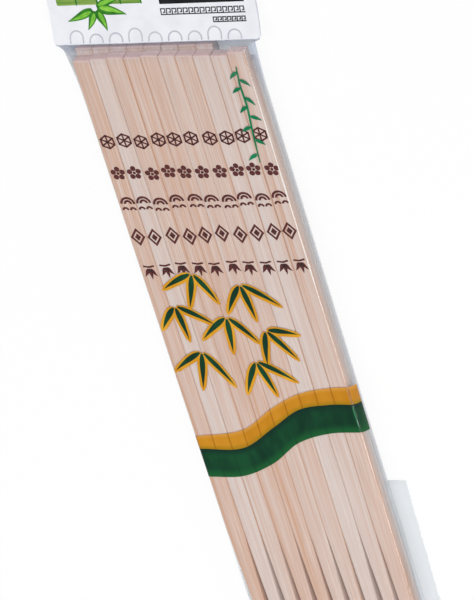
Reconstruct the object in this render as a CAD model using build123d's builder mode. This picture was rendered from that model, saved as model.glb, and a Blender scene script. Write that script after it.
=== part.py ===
from build123d import *
import os
from math import atan2, cos, hypot, radians, sin

# Pack of bamboo chopsticks: two rows of sticks in a clear film bag, closed by a folded header card.
# The pack lies on its back: +X runs across the rows, +Y towards the header card, +Z up, in millimetres.

# Chopstick
stick_length = 240.0
stick_width = 6.0
stick_thickness = 3.7
shaft_length = 190.0
edge_radius = 0.45
edge_flats = 3
tip_diameter = 3.5
tip_rounding = 0.9
tip_steps = 2
butt_ease = 0.3

# Stack of two rows, with how far each butt end has slid past the line of butts
sticks_per_row = 10
stick_gap = 0.1
row_gap = 0.1
back_row_lead = 1.9
front_slides = {1: -0.6, 3: 0.4, 4: 0.2, 5: 0.7, 6: 0.5, 7: 0.3, 8: 0.2, 10: 1.1}
back_slides = {9: -5.9, 10: -6.5}

# Film bag
film_wall = 0.2
film_clearance = 0.1
end_clearance = 0.3
side_crease = 1.5
mouth_crease = 2.7
mouth_ease = 20.0
film_slack = 0.86
edge_taper = 0.2
edge_seal = 0.8
pinch = 0.05
mouth_run = 2.3
mouth_drop = 2.8
closing_run = 4.0
flap_length = 75.0
flap_skew = 1.0

# Header card
card_thickness = 0.35
card_clearance = 0.05
card_overhang = 0.4
card_slope = 26.0
card_start = 0.3
card_flat_run = 19.0
card_corner_radius = 1.4
hang_hole_radius = 3.0
hang_hole_margin = 7.0
film_margin = 1.5

# Staples
staple_wire = 0.5
staple_crown = 10.0
staple_bend_radius = 0.3
staple_spread = 21.0
clinch_gap = 1.6
pierce_clearance = 0.05

# Heights, from the folded flap up to the face of the front row
flap_thickness = 2 * film_wall
sleeve_low = flap_thickness + film_clearance
toe_fold_radius = flap_thickness + film_clearance / 2
back_row_z = sleeve_low + film_wall + film_clearance + stick_thickness / 2
front_row_z = back_row_z + stick_thickness + row_gap
sleeve_high = front_row_z + stick_thickness / 2 + film_clearance + film_wall
sleeve_middle = (sleeve_low + sleeve_high) / 2

# Widths
stick_pitch = stick_width + stick_gap
row_half = (sticks_per_row * stick_pitch - stick_gap) / 2
sleeve_half = row_half + film_clearance + film_wall
bag_half = sleeve_half + hypot(side_crease, sleeve_high - sleeve_middle) + film_slack
card_half = bag_half + card_overhang
left_reach = max(card_half, bag_half)
right_reach = max(card_half, bag_half + flap_skew)
pack_x = (left_reach - right_reach) / 2

# Layers under the staples: two card panels with the two films of the bag's mouth between them
card_inner = film_wall + card_clearance
card_outer = card_inner + card_thickness
card_flat_z = staple_wire + card_outer

# The mouth slopes down at the card's lower edge and bends level in one arc
mouth_z = sleeve_high - mouth_drop
slope = radians(card_slope)
bend_radius = (mouth_z - card_flat_z) / (1 - cos(slope))
bend_z = card_flat_z + bend_radius

# Lengths, measured both ways from the line of butts, which is set so that the pack is centred
front_ends = [front_slides.get(n, 0.0) for n in range(1, sticks_per_row + 1)]
back_ends = [back_row_lead + back_slides.get(n, 0.0) for n in range(1, sticks_per_row + 1)]
reach_above = max(front_ends) + end_clearance + film_wall
bend_reach = reach_above + mouth_run + bend_radius * sin(slope)
above_butts = bend_reach + card_flat_run + card_outer
reach_below = stick_length - min(front_ends + back_ends) + end_clearance + film_wall
below_butts = reach_below + closing_run + toe_fold_radius
butt_y = (below_butts - above_butts) / 2
shoulder_y = butt_y + reach_above
mouth_y = shoulder_y + mouth_run
bend_y = butt_y + bend_reach
fold_y = bend_y + card_flat_run
toe_y = butt_y - reach_below
bottom_y = toe_y - closing_run
flap_end_y = bottom_y + flap_length
film_end_y = fold_y - film_margin
hang_hole_y = fold_y - hang_hole_margin

# The shoulder leans over the back row's ends, where they stand further out than the front row's
back_row_high = back_row_z + stick_thickness / 2
shoulder_lean = atan2(max(back_ends) - max(front_ends), sleeve_high - back_row_high)
shoulder_height = (sleeve_high - sleeve_low) / cos(shoulder_lean)

os.makedirs("parts", exist_ok=True)

across = Plane(origin=(pack_x, 0, 0), x_dir=(0, 1, 0), z_dir=(1, 0, 0))
level = Plane(origin=(pack_x, 0, 0), x_dir=(1, 0, 0), z_dir=(0, 0, 1))
mouth = Plane(origin=(pack_x, mouth_y, mouth_z), x_dir=(1, 0, 0), z_dir=(0, -cos(slope), sin(slope)))
shoulder = Plane(
    origin=(pack_x, shoulder_y, sleeve_high),
    x_dir=(1, 0, 0),
    z_dir=(0, -cos(shoulder_lean), -sin(shoulder_lean)),
)


def station(y):
    """Upright plane across the pack at y, drawn on in X and Z and facing the tips."""
    return Plane(origin=(pack_x, y, 0), x_dir=(1, 0, 0), z_dir=(0, -1, 0))


def stick_outline(width, thickness, corner):
    """Rectangle with each corner rounded off in small flats; at the tip the corners meet in a round."""
    turn = 90 / (edge_flats + 1)
    reach = corner / cos(radians(turn / 2))
    points = []
    for quarter, (side, rise) in enumerate(((1, 1), (-1, 1), (-1, -1), (1, -1))):
        for step in range(edge_flats + 1):
            angle = radians(90 * quarter + turn * (step + 0.5))
            x = side * (width / 2 - corner) + reach * cos(angle)
            y = rise * (thickness / 2 - corner) + reach * sin(angle)
            points.append((x, y))
    Polygon(*points, align=None)


def film_outline(flat_half, crease_half, low, high):
    """Six-sided section of the bag: flat below and above, with a crease standing out at each side."""
    middle = (low + high) / 2
    Polygon(
        (-flat_half, low),
        (flat_half, low),
        (crease_half, middle),
        (flat_half, high),
        (-flat_half, high),
        (-crease_half, middle),
        align=None,
    )


def bag_sections(inset, pinched, seal):
    """Planes and outlines of the bag from mouth to toe, drawn in by inset, its pinched ends by seal."""
    flat = sleeve_half - inset
    low = sleeve_low + inset
    high = sleeve_high - inset
    pinch_crease = bag_half - seal
    pinch_flat = pinch_crease - edge_taper
    bottom_middle = sleeve_low + film_wall
    return (
        (mouth.offset(inset), (pinch_flat, pinch_crease, -pinched, pinched)),
        (shoulder.offset(inset), (flat, flat + mouth_crease, inset - shoulder_height, -inset)),
        (station(shoulder_y - mouth_ease), (flat, flat + side_crease, low, high)),
        (station(toe_y + inset), (flat, flat + side_crease, low, high)),
        (
            station(bottom_y + inset),
            (pinch_flat, pinch_crease, bottom_middle - pinched, bottom_middle + pinched),
        ),
    )


def bend_point(rise, turn):
    """Point on the bend, rise above its middle line, where it is still to turn by this angle."""
    radius = bend_radius - rise
    return (bend_y - radius * sin(turn), bend_z - radius * cos(turn))


def bent_edge(rise, start, end_y):
    """Edge beside the bend's middle line, from an angle on the slope to the level end."""
    ThreePointArc(bend_point(rise, start), bend_point(rise, start / 2), bend_point(rise, 0))
    Line(bend_point(rise, 0), (end_y, card_flat_z + rise))


def punched_holes():
    """Round hang hole, and square holes where the staples' legs go through."""
    leg_spread = (staple_crown - staple_wire) / 2
    leg_hole = staple_wire + 2 * pierce_clearance
    with Locations((0, hang_hole_y)):
        Circle(hang_hole_radius)
    for side in (-1, 1):
        for leg in (-1, 1):
            with Locations((side * staple_spread + leg * leg_spread, hang_hole_y)):
                Rectangle(leg_hole, leg_hole)


# Chopstick: a straight shaft with eased edges, tapering to a round tip, its butt end chamfered
stick_sections = [
    (0.0, stick_width - 2 * butt_ease, stick_thickness - 2 * butt_ease, edge_radius - butt_ease),
    (butt_ease, stick_width, stick_thickness, edge_radius),
    (shaft_length, stick_width, stick_thickness, edge_radius),
]
for step in range(tip_steps + 1):
    turn = radians(90 * step / tip_steps)
    tip_radius = tip_diameter / 2 - tip_rounding * (1 - cos(turn))
    tip_depth = stick_length - tip_rounding * (1 - sin(turn))
    stick_sections.append((tip_depth, 2 * tip_radius, 2 * tip_radius, tip_radius))
butt = Plane(origin=(0, 0, 0), x_dir=(1, 0, 0), z_dir=(0, -1, 0))
with BuildPart() as chopstick:
    for depth, width, thickness, corner in stick_sections:
        with BuildSketch(butt.offset(depth)):
            stick_outline(width, thickness, corner)
    loft(ruled=True)

# Two rows of chopsticks, each stick slid a little along its neighbours
for row, row_z, lead, row_slides in (
    ("front", front_row_z, 0.0, front_slides),
    ("back", back_row_z, back_row_lead, back_slides),
):
    for number in range(1, sticks_per_row + 1):
        stick_x = pack_x - row_half + stick_width / 2 + (number - 1) * stick_pitch
        stick_y = butt_y + lead + row_slides.get(number, 0.0)
        with BuildPart() as row_stick:
            with Locations((stick_x, stick_y, row_z)):
                add(chopstick.part)
        row_stick.part.label = f"chopstick_{row}_{number:02d}"
        export_step(row_stick.part, f"parts/{row_stick.part.label}.step")

# Film bag: a creased sleeve, flattened at the mouth for the card and at the toe, where it folds back under
with BuildPart() as film_bag:
    for plane, outline in bag_sections(0.0, film_wall, 0.0):
        with BuildSketch(plane):
            film_outline(*outline)
    loft(ruled=True)
    for plane, outline in bag_sections(film_wall, pinch, edge_seal):
        with BuildSketch(plane):
            film_outline(*outline)
    loft(ruled=True, mode=Mode.SUBTRACT)
    with BuildSketch(across):
        with BuildLine():
            bent_edge(film_wall, slope, film_end_y)
            Line((film_end_y, card_flat_z + film_wall), (film_end_y, card_flat_z - film_wall))
            bent_edge(-film_wall, slope, film_end_y)
            Line(bend_point(-film_wall, slope), bend_point(film_wall, slope))
        make_face()
    extrude(amount=bag_half, both=True)
    with BuildSketch(across):
        with Locations((bottom_y, toe_fold_radius)):
            Circle(toe_fold_radius)
            Circle(film_clearance / 2, mode=Mode.SUBTRACT)
            Rectangle(2 * sleeve_high, 2 * sleeve_high, align=(Align.MIN, Align.CENTER), mode=Mode.SUBTRACT)
    extrude(amount=bag_half, both=True)
    with BuildSketch(level):
        with BuildLine():
            Polyline(
                (-bag_half, bottom_y),
                (bag_half, bottom_y),
                (bag_half + flap_skew, flap_end_y),
                (-bag_half + flap_skew, flap_end_y),
                close=True,
            )
        make_face()
    extrude(amount=flap_thickness)
    with BuildSketch(level):
        punched_holes()
    extrude(amount=sleeve_high, mode=Mode.SUBTRACT)
film_bag.part.label = "film_bag"
export_step(film_bag.part, "parts/film_bag.step")

# Header card: one sheet folded over the mouth, its two panels following the bend
card_turn = slope - card_start / bend_radius
with BuildPart() as header_card:
    with BuildSketch(across):
        with BuildLine():
            bent_edge(card_outer, card_turn, fold_y)
            ThreePointArc(
                (fold_y, card_flat_z + card_outer),
                (fold_y + card_outer, card_flat_z),
                (fold_y, card_flat_z - card_outer),
            )
            bent_edge(-card_outer, card_turn, fold_y)
            Line(bend_point(-card_outer, card_turn), bend_point(-card_inner, card_turn))
            bent_edge(-card_inner, card_turn, fold_y)
            ThreePointArc(
                (fold_y, card_flat_z - card_inner),
                (fold_y + card_inner, card_flat_z),
                (fold_y, card_flat_z + card_inner),
            )
            bent_edge(card_inner, card_turn, fold_y)
            Line(bend_point(card_inner, card_turn), bend_point(card_outer, card_turn))
        make_face()
    extrude(amount=card_half, both=True)
    lower_edges = header_card.faces().sort_by(Axis.Y)[:2].edges()
    fillet(lower_edges.filter_by(Axis.X, reverse=True), card_corner_radius)
    with BuildSketch(level):
        punched_holes()
    extrude(amount=sleeve_high, mode=Mode.SUBTRACT)
header_card.part.label = "header_card"
export_step(header_card.part, "parts/header_card.step")

# Staples: wire through both panels and both films, with the legs clinched under the back panel
with BuildPart() as staples:
    with BuildSketch(station(hang_hole_y)) as staple_outline:
        for side in (-1, 1):
            with Locations((side * staple_spread, card_flat_z)):
                Rectangle(staple_crown, 2 * (card_outer + staple_wire))
        fillet(staple_outline.vertices(), staple_bend_radius)
        for side in (-1, 1):
            with Locations((side * staple_spread, card_flat_z)):
                Rectangle(staple_crown - 2 * staple_wire, 2 * card_outer, mode=Mode.SUBTRACT)
            with Locations((side * staple_spread, staple_wire / 2)):
                Rectangle(clinch_gap, staple_wire, mode=Mode.SUBTRACT)
    extrude(amount=staple_wire / 2, both=True)
staples.part.label = "staples"
export_step(staples.part, "parts/staples.step")
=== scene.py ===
"""Looks of a pack of bamboo chopsticks: sticks in a clear printed film bag under a folded header card.

Lengths are written in millimetres in the CAD frame: +X across the rows, +Y towards the card, +Z up.
The studio around the pack is written in metres.
"""

from __future__ import annotations

import logging
import math
import random
from dataclasses import astuple, dataclass, replace
from enum import Enum
from typing import Any, Callable, Iterable, Mapping, Sequence, Union

import bmesh
import bpy
from mathutils import Matrix, Vector, noise

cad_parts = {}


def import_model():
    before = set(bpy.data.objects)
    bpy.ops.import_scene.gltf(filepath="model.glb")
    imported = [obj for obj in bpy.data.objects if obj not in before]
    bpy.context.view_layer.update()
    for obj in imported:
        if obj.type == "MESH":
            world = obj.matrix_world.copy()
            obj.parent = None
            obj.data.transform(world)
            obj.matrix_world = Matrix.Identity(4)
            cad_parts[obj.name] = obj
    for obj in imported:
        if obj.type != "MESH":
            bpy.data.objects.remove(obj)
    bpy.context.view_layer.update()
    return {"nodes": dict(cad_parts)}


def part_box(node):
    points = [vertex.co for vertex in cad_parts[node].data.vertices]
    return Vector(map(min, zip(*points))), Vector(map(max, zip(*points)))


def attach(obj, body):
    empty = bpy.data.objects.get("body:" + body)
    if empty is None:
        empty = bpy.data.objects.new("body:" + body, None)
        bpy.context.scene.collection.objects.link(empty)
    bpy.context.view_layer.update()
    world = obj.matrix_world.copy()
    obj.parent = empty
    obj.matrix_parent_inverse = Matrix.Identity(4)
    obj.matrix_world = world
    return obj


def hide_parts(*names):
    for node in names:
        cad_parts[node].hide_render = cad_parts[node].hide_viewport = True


LOG = logging.getLogger("chopstick_pack")
MM = 0.001
BODY = "root"
CORNER_SEGMENTS = 4
WHITE = (1.0, 1.0, 1.0, 1.0)

Colour = tuple[float, float, float, float]
Outline = tuple[float, float, float, float]
Point = tuple[float, float]
Spot = tuple[float, float, float]
Surface = Callable[[float, float, float], Vector]
Value = Union[float, Sequence[float], "Wire"]


def shade(red: int, green: int, blue: int) -> Colour:
    """Turns a colour as a screen shows it into the linear colour that a shader takes.

    Args:
        red, green, blue: screen values from 0 to 255.

    Returns:
        Linear red, green, blue and a full alpha.
    """
    linear = []
    for part in (red / 255, green / 255, blue / 255):
        linear.append(part / 12.92 if part <= 0.04045 else ((part + 0.055) / 1.055) ** 2.4)
    return linear[0], linear[1], linear[2], 1.0


def ease(share: float) -> float:
    """Smooth step of a share, held between 0 and 1."""
    held = min(max(share, 0.0), 1.0)
    return held * held * (3 - 2 * held)


def along(stops: Sequence[Point], place: float) -> float:
    """Reads a smooth curve through a few stops.

    Args:
        stops: places and values, in rising order of place.
        place: where to read the curve; past either end it goes straight on.

    Returns:
        The curve's value there.
    """
    count = len(stops)
    step = 0
    while step < count - 2 and place > stops[step + 1][0]:
        step += 1

    def slope(index: int) -> float:
        """Slope of the curve at one stop."""
        before, after = stops[max(index - 1, 0)], stops[min(index + 1, count - 1)]
        return (after[1] - before[1]) / (after[0] - before[0])

    (x0, y0), (x1, y1) = stops[step], stops[step + 1]
    if place < x0:
        return y0 + slope(step) * (place - x0)
    if place > x1:
        return y1 + slope(step + 1) * (place - x1)
    span = x1 - x0
    t = (place - x0) / span
    rise = (2 * t**3 - 3 * t**2 + 1) * y0 + (3 * t**2 - 2 * t**3) * y1
    return rise + span * ((t**3 - 2 * t**2 + t) * slope(step) + (t**3 - t**2) * slope(step + 1))


def arc(x: float, y: float, radius: float, start: float, end: float, steps: int) -> list[Point]:
    """Points of an arc, with its angles in degrees."""
    turns = [math.radians(start + (end - start) * n / steps) for n in range(steps + 1)]
    return [(x + radius * math.cos(t), y + radius * math.sin(t)) for t in turns]


def verts_in(made: Iterable[Any]) -> list[bmesh.types.BMVert]:
    """The vertices among an operator's results."""
    return [item for item in made if isinstance(item, bmesh.types.BMVert)]


def edges_between(made: Iterable[Any], verts: Iterable[bmesh.types.BMVert]) -> list[bmesh.types.BMEdge]:
    """The edges among an operator's results that have both their ends among some vertices."""
    ends = set(verts)
    return [item for item in made if isinstance(item, bmesh.types.BMEdge) and ends.issuperset(item.verts)]


def round_corners(shape: bmesh.types.BMesh, verts: Sequence[bmesh.types.BMVert], radius: float) -> None:
    """Rounds the corners of a flat outline.

    Args:
        shape: the mesh that holds it.
        verts: its corners.
        radius: of the rounding.
    """
    bmesh.ops.bevel(
        shape,
        geom=verts,
        offset=radius,
        affect="VERTICES",
        segments=CORNER_SEGMENTS,
        profile=0.5,
        material=-1,
    )


@dataclass(frozen=True)
class PackSizes:
    """Places that the pieces share, as the CAD source has them."""

    middle_x: float = -0.3
    butt_y: float = 102.846
    pitch: float = 6.1
    front_face: float = 8.3
    row_count: int = 10

    def stick_x(self, number: int) -> float:
        """Middle of a front stick, counted from 0 at the left, beside the pack's middle."""
        return (number - (self.row_count - 1) / 2) * self.pitch


PACK = PackSizes()


class Wire:
    """One output socket, on which Python's operators do shader maths."""

    def __init__(self, bench: NodeBench, socket: bpy.types.NodeSocket) -> None:
        """Keeps the socket and the bench that it belongs to."""
        self.bench = bench
        self.socket = socket

    def maths(self, operation: str, *values: Value, clamp: bool = False) -> Wire:
        """Adds a Math node.

        Args:
            operation: the Math node's operation.
            values: its inputs, in order.
            clamp: True to hold the result between 0 and 1.

        Returns:
            The node's output.
        """
        settings = {"operation": operation, "use_clamp": clamp}
        return self.bench.node("ShaderNodeMath", settings, dict(enumerate(values)))

    def __add__(self, other: Value) -> Wire:
        """Sum."""
        return self.maths("ADD", self, other)

    def __radd__(self, other: Value) -> Wire:
        """Sum, with the number first."""
        return self.maths("ADD", other, self)

    def __sub__(self, other: Value) -> Wire:
        """Difference."""
        return self.maths("SUBTRACT", self, other)

    def __rsub__(self, other: Value) -> Wire:
        """Difference, with the number first."""
        return self.maths("SUBTRACT", other, self)

    def __mul__(self, other: Value) -> Wire:
        """Product."""
        return self.maths("MULTIPLY", self, other)

    def __rmul__(self, other: Value) -> Wire:
        """Product, with the number first."""
        return self.maths("MULTIPLY", other, self)

    def __pow__(self, other: Value) -> Wire:
        """Power."""
        return self.maths("POWER", self, other)

    def __abs__(self) -> Wire:
        """Size without its sign."""
        return self.maths("ABSOLUTE", self)

    def held(self) -> Wire:
        """The value held between 0 and 1."""
        return self.maths("ADD", self, 0.0, clamp=True)

    def swing(self, reach: float) -> Wire:
        """The value sent to and fro between 0 and a reach."""
        return self.maths("PINGPONG", self, reach)

    def step(self, start: float, end: float) -> Wire:
        """Rises smoothly from 0 at start to 1 at end."""
        settings = {"interpolation_type": "SMOOTHSTEP"}
        return self.bench.node("ShaderNodeMapRange", settings, {0: self, 1: start, 2: end})


class NodeBench:
    """A node tree, with one method that adds any node."""

    def __init__(self, tree: bpy.types.NodeTree) -> None:
        """Takes over an empty tree."""
        self.tree = tree
        self.tree.nodes.clear()

    def node(
        self,
        kind: str,
        settings: Mapping[str, Any] | None = None,
        inputs: Mapping[Any, Value] | None = None,
        output: Any = 0,
    ) -> Wire:
        """Adds a node.

        Args:
            kind: the node's type.
            settings: its properties, set first.
            inputs: values or links of its sockets, by name or number.
            output: name or number of the output that is wanted.

        Returns:
            That output.
        """
        made = self.tree.nodes.new(kind)
        for key, setting in (settings or {}).items():
            setattr(made, key, setting)
        for key, value in (inputs or {}).items():
            if isinstance(value, Wire):
                self.tree.links.new(value.socket, made.inputs[key])
            else:
                made.inputs[key].default_value = value
        return Wire(self, made.outputs[output])

    def place(self, scale: Sequence[float]) -> Wire:
        """Object coordinates, stretched by a scale for each axis."""
        where = self.node("ShaderNodeTexCoord", output="Object")
        return self.node("ShaderNodeMapping", None, {"Vector": where, "Scale": scale})

    def cloud(self, scale: Sequence[float], detail: float = 2.0) -> Wire:
        """Noise around 0.5 over stretched Object coordinates."""
        inputs = {"Vector": self.place(scale), "Scale": 1.0, "Detail": detail}
        return self.node("ShaderNodeTexNoise", None, inputs)

    def attribute(self, name: str) -> Wire:
        """A number that the mesh carries."""
        return self.node("ShaderNodeAttribute", {"attribute_name": name}, output="Fac")

    def blend(self, factor: Value, first: Value, second: Value) -> Wire:
        """Mixes two colours by a factor."""
        return self.node("ShaderNodeMix", {"data_type": "RGBA"}, {0: factor, 6: first, 7: second}, output=2)

    def bump(self, height: Wire, strength: float, distance: float) -> Wire:
        """Normal that follows a height, with the height's depth in metres."""
        inputs = {"Strength": strength, "Distance": distance, "Height": height}
        return self.node("ShaderNodeBump", None, inputs)

    def show(self, surface: Wire, kind: str = "ShaderNodeOutputMaterial") -> None:
        """Links a shader to the tree's output."""
        output = self.tree.nodes.new(kind)
        self.tree.links.new(surface.socket, output.inputs["Surface"])

    def paint(self, inputs: Mapping[str, Value]) -> None:
        """Shows a Principled surface."""
        self.show(self.node("ShaderNodeBsdfPrincipled", None, inputs))


def new_bench(name: str) -> tuple[bpy.types.Material, NodeBench]:
    """Makes an empty material.

    Args:
        name: the material's name.

    Returns:
        The material, and the bench for its nodes.
    """
    material = bpy.data.materials.new(name)
    material.use_nodes = True
    return material, NodeBench(material.node_tree)


@dataclass(frozen=True)
class BambooFinish:
    """Planed bamboo: pale pith and tan streaks, fine fibres lengthwise, warm long edges and rosy ends."""

    pale: Colour = shade(217, 202, 196)
    tan: Colour = shade(209, 169, 146)
    light: Colour = shade(232, 217, 208)
    edge: Colour = shade(200, 146, 107)
    fibre: Colour = shade(184, 146, 123)
    end_grain: Colour = shade(238, 205, 200)
    end_fibre: Colour = shade(214, 180, 175)
    relief: float = 0.06 * MM

    def material(self) -> bpy.types.Material:
        """Builds the material; sticks carry tone, across and end attributes.

        Returns:
            The material for every stick.
        """
        material, bench = new_bench("planed_bamboo")
        tone = bench.attribute("tone")
        broad = bench.cloud((420.0, 5.0, 300.0), 2.0)
        streaks = bench.cloud((1500.0, 9.0, 600.0), 3.0)
        fibres = bench.cloud((3600.0, 28.0, 3600.0), 3.0)
        hairs = bench.cloud((6500.0, 90.0, 6500.0), 1.0)
        warm = tone * 0.85 + (broad - 0.5) * 1.5 + (streaks - 0.5) * 1.1 + 0.06
        colour = bench.blend(warm.held(), self.pale, self.tan)
        amber = streaks.step(0.56, 0.7) * (0.1 + tone * 0.5)
        colour = bench.blend(amber, colour, self.edge)
        lines = fibres.step(0.5, 0.72) * 0.55 + hairs.step(0.55, 0.75) * 0.25
        colour = bench.blend(lines * 0.62, colour, self.fibre)
        glints = bench.cloud((4400.0, 34.0, 4400.0), 2.0).step(0.5, 0.72)
        colour = bench.blend(glints * 0.6, colour, self.light)
        patchy = bench.cloud((170.0, 9.0, 170.0), 1.0).step(0.35, 0.65)
        rim = abs(bench.attribute("across")).step(0.82, 1.0) * (0.2 + patchy * 0.6)
        colour = bench.blend(rim, colour, self.edge)
        cells = {"Vector": bench.place((2400.0, 0.0, 2400.0)), "Scale": 1.0}
        dots = bench.node("ShaderNodeTexVoronoi", None, cells)
        ends = bench.blend(dots.step(0.45, 0.15) * 0.7, self.end_grain, self.end_fibre)
        colour = bench.blend(bench.attribute("end"), colour, ends)
        height = fibres * 0.6 + hairs * 0.4
        bench.paint(
            {
                "Base Color": colour,
                "Roughness": 0.5 + fibres * 0.2,
                "Specular IOR Level": 0.25,
                "Normal": bench.bump(height, 0.35, self.relief),
            }
        )
        return material


@dataclass(frozen=True)
class FilmFinish:
    """Clear glossy film, hazy and faintly blue where it is doubled, creased or seen edge on; at the mouth
    and shoulder the haze is greyed as painted shade of the hollow under the card.
    """

    tint: Colour = (0.993, 0.995, 0.996, 1.0)
    haze: Colour = shade(206, 216, 224)
    painted_shade: Colour = shade(196, 206, 224)
    head_on: float = 0.03
    roughness: float = 0.06
    milk_roughness: float = 0.2
    relief: float = 0.8 * MM

    def material(self) -> bpy.types.Material:
        """Builds the material; the bag carries haze and painted shade attributes.

        Returns:
            The material for the bag.
        """
        material, bench = new_bench("clear_film")
        ripple = bench.cloud((95.0, 26.0, 95.0), 2.0)
        normal = bench.bump(ripple, 0.25, self.relief)
        facing = bench.node("ShaderNodeLayerWeight", None, {"Blend": 0.5, "Normal": normal}, "Facing")
        mirror = self.head_on + (1 - self.head_on) * facing**5.0
        clear = bench.node("ShaderNodeBsdfTransparent", None, {"Color": self.tint})
        gloss_inputs = {"Roughness": self.roughness, "Normal": normal}
        gloss = bench.node("ShaderNodeBsdfAnisotropic", None, gloss_inputs)
        skin = bench.node("ShaderNodeMixShader", None, {0: mirror, 1: clear, 2: gloss})
        # Painted shade: the haze turns a darker grey where the painted_shade attribute is high.
        grey = bench.blend(bench.attribute("painted_shade"), self.haze, self.painted_shade)
        milk_inputs = {"Base Color": grey, "Roughness": self.milk_roughness, "Normal": normal}
        milk = bench.node("ShaderNodeBsdfPrincipled", None, milk_inputs)
        cloudy = bench.attribute("haze") * (0.85 + ripple * 0.3)
        bench.show(bench.node("ShaderNodeMixShader", None, {0: cloudy.held(), 1: skin, 2: milk}))
        return material


@dataclass(frozen=True)
class CardFinish:
    """White coated card, with a faint cool tint and fine paper grain."""

    white: Colour = shade(238, 239, 244)
    shadow: Colour = shade(230, 231, 238)
    relief: float = 0.04 * MM

    def material(self) -> bpy.types.Material:
        """Builds the material.

        Returns:
            The material for the header card.
        """
        material, bench = new_bench("coated_card")
        mottle = bench.cloud((160.0, 160.0, 160.0), 3.0)
        grain = bench.cloud((5200.0, 5200.0, 5200.0), 2.0)
        bench.paint(
            {
                "Base Color": bench.blend(mottle.step(0.35, 0.75), self.white, self.shadow),
                "Roughness": 0.36 + grain * 0.16,
                "Specular IOR Level": 0.4,
                "Normal": bench.bump(grain, 0.12, self.relief),
            }
        )
        return material


@dataclass(frozen=True)
class SteelFinish:
    """Drawn steel wire, brushed lengthwise."""

    steel: Colour = shade(196, 198, 202)

    def material(self) -> bpy.types.Material:
        """Builds the material.

        Returns:
            The material for the staples.
        """
        material, bench = new_bench("drawn_steel")
        drawn = bench.cloud((400.0, 9000.0, 9000.0), 2.0)
        bench.paint({"Base Color": self.steel, "Metallic": 1.0, "Roughness": 0.22 + drawn * 0.2})
        return material


@dataclass(frozen=True)
class InkFinish:
    """Printing ink: one colour that wavers a little, more or less see-through."""

    name: str
    dark: Colour
    light: Colour
    alpha: float = 1.0
    roughness: float = 0.4
    streak: Spot = (180.0, 60.0, 180.0)
    gloss: float = 0.12

    def colour(self, bench: NodeBench) -> Wire:
        """The ink's wavering colour."""
        waver = bench.cloud(self.streak, 3.0)
        return bench.blend(waver.step(0.3, 0.75), self.dark, self.light)

    def material(self) -> bpy.types.Material:
        """Builds the material.

        Returns:
            The material for one ink.
        """
        material, bench = new_bench(self.name)
        grit = bench.cloud((4200.0, 2600.0, 4200.0), 1.0)
        bench.paint(
            {
                "Base Color": self.colour(bench),
                "Roughness": self.roughness + grit * 0.12,
                "Specular IOR Level": self.gloss,
                "Alpha": self.alpha,
            }
        )
        return material


@dataclass(frozen=True)
class BandFinish(InkFinish):
    """Ink of a wide stripe whose colour shifts towards its two edges, with the sticks' joints showing
    through; on the green stripe the lighter lower edge is painted sheen.
    """

    upper: Colour = WHITE
    lower: Colour = WHITE
    joint: Colour = WHITE
    upper_fade: float = 0.72
    lower_fade: float = 0.34
    joint_reach: float = 0.075
    joint_strength: float = 0.6

    def joints(self, bench: NodeBench) -> Wire:
        """Finds the lines where two sticks meet under the film, one of which is the pack's middle.

        Args:
            bench: where the nodes go.

        Returns:
            1 along those lines and 0 between them.
        """
        across = bench.node("ShaderNodeSeparateXYZ", None, {0: bench.place((1.0, 1.0, 1.0))}, "X")
        sticks = (across - PACK.middle_x * MM) * (1 / (PACK.pitch * MM))
        return sticks.swing(0.5).step(self.joint_reach, 0.0)

    def colour(self, bench: NodeBench) -> Wire:
        """Colours the stripe towards its edges, whose share attribute rises from its lower to its upper
        edge.

        Args:
            bench: where the nodes go.

        Returns:
            The ink's colour.
        """
        share = bench.attribute("share")
        shaded = bench.blend(share.step(self.lower_fade, 0.0), super().colour(bench), self.lower)
        shaded = bench.blend(share.step(self.upper_fade, 1.0), shaded, self.upper)
        return bench.blend(self.joints(bench) * self.joint_strength, shaded, self.joint)


STAMPED: Spot = (2600.0, 300.0, 2600.0)
LEAFY: Spot = (420.0, 420.0, 420.0)
CANE_LIKE: Spot = (60.0, 900.0, 900.0)


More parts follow.
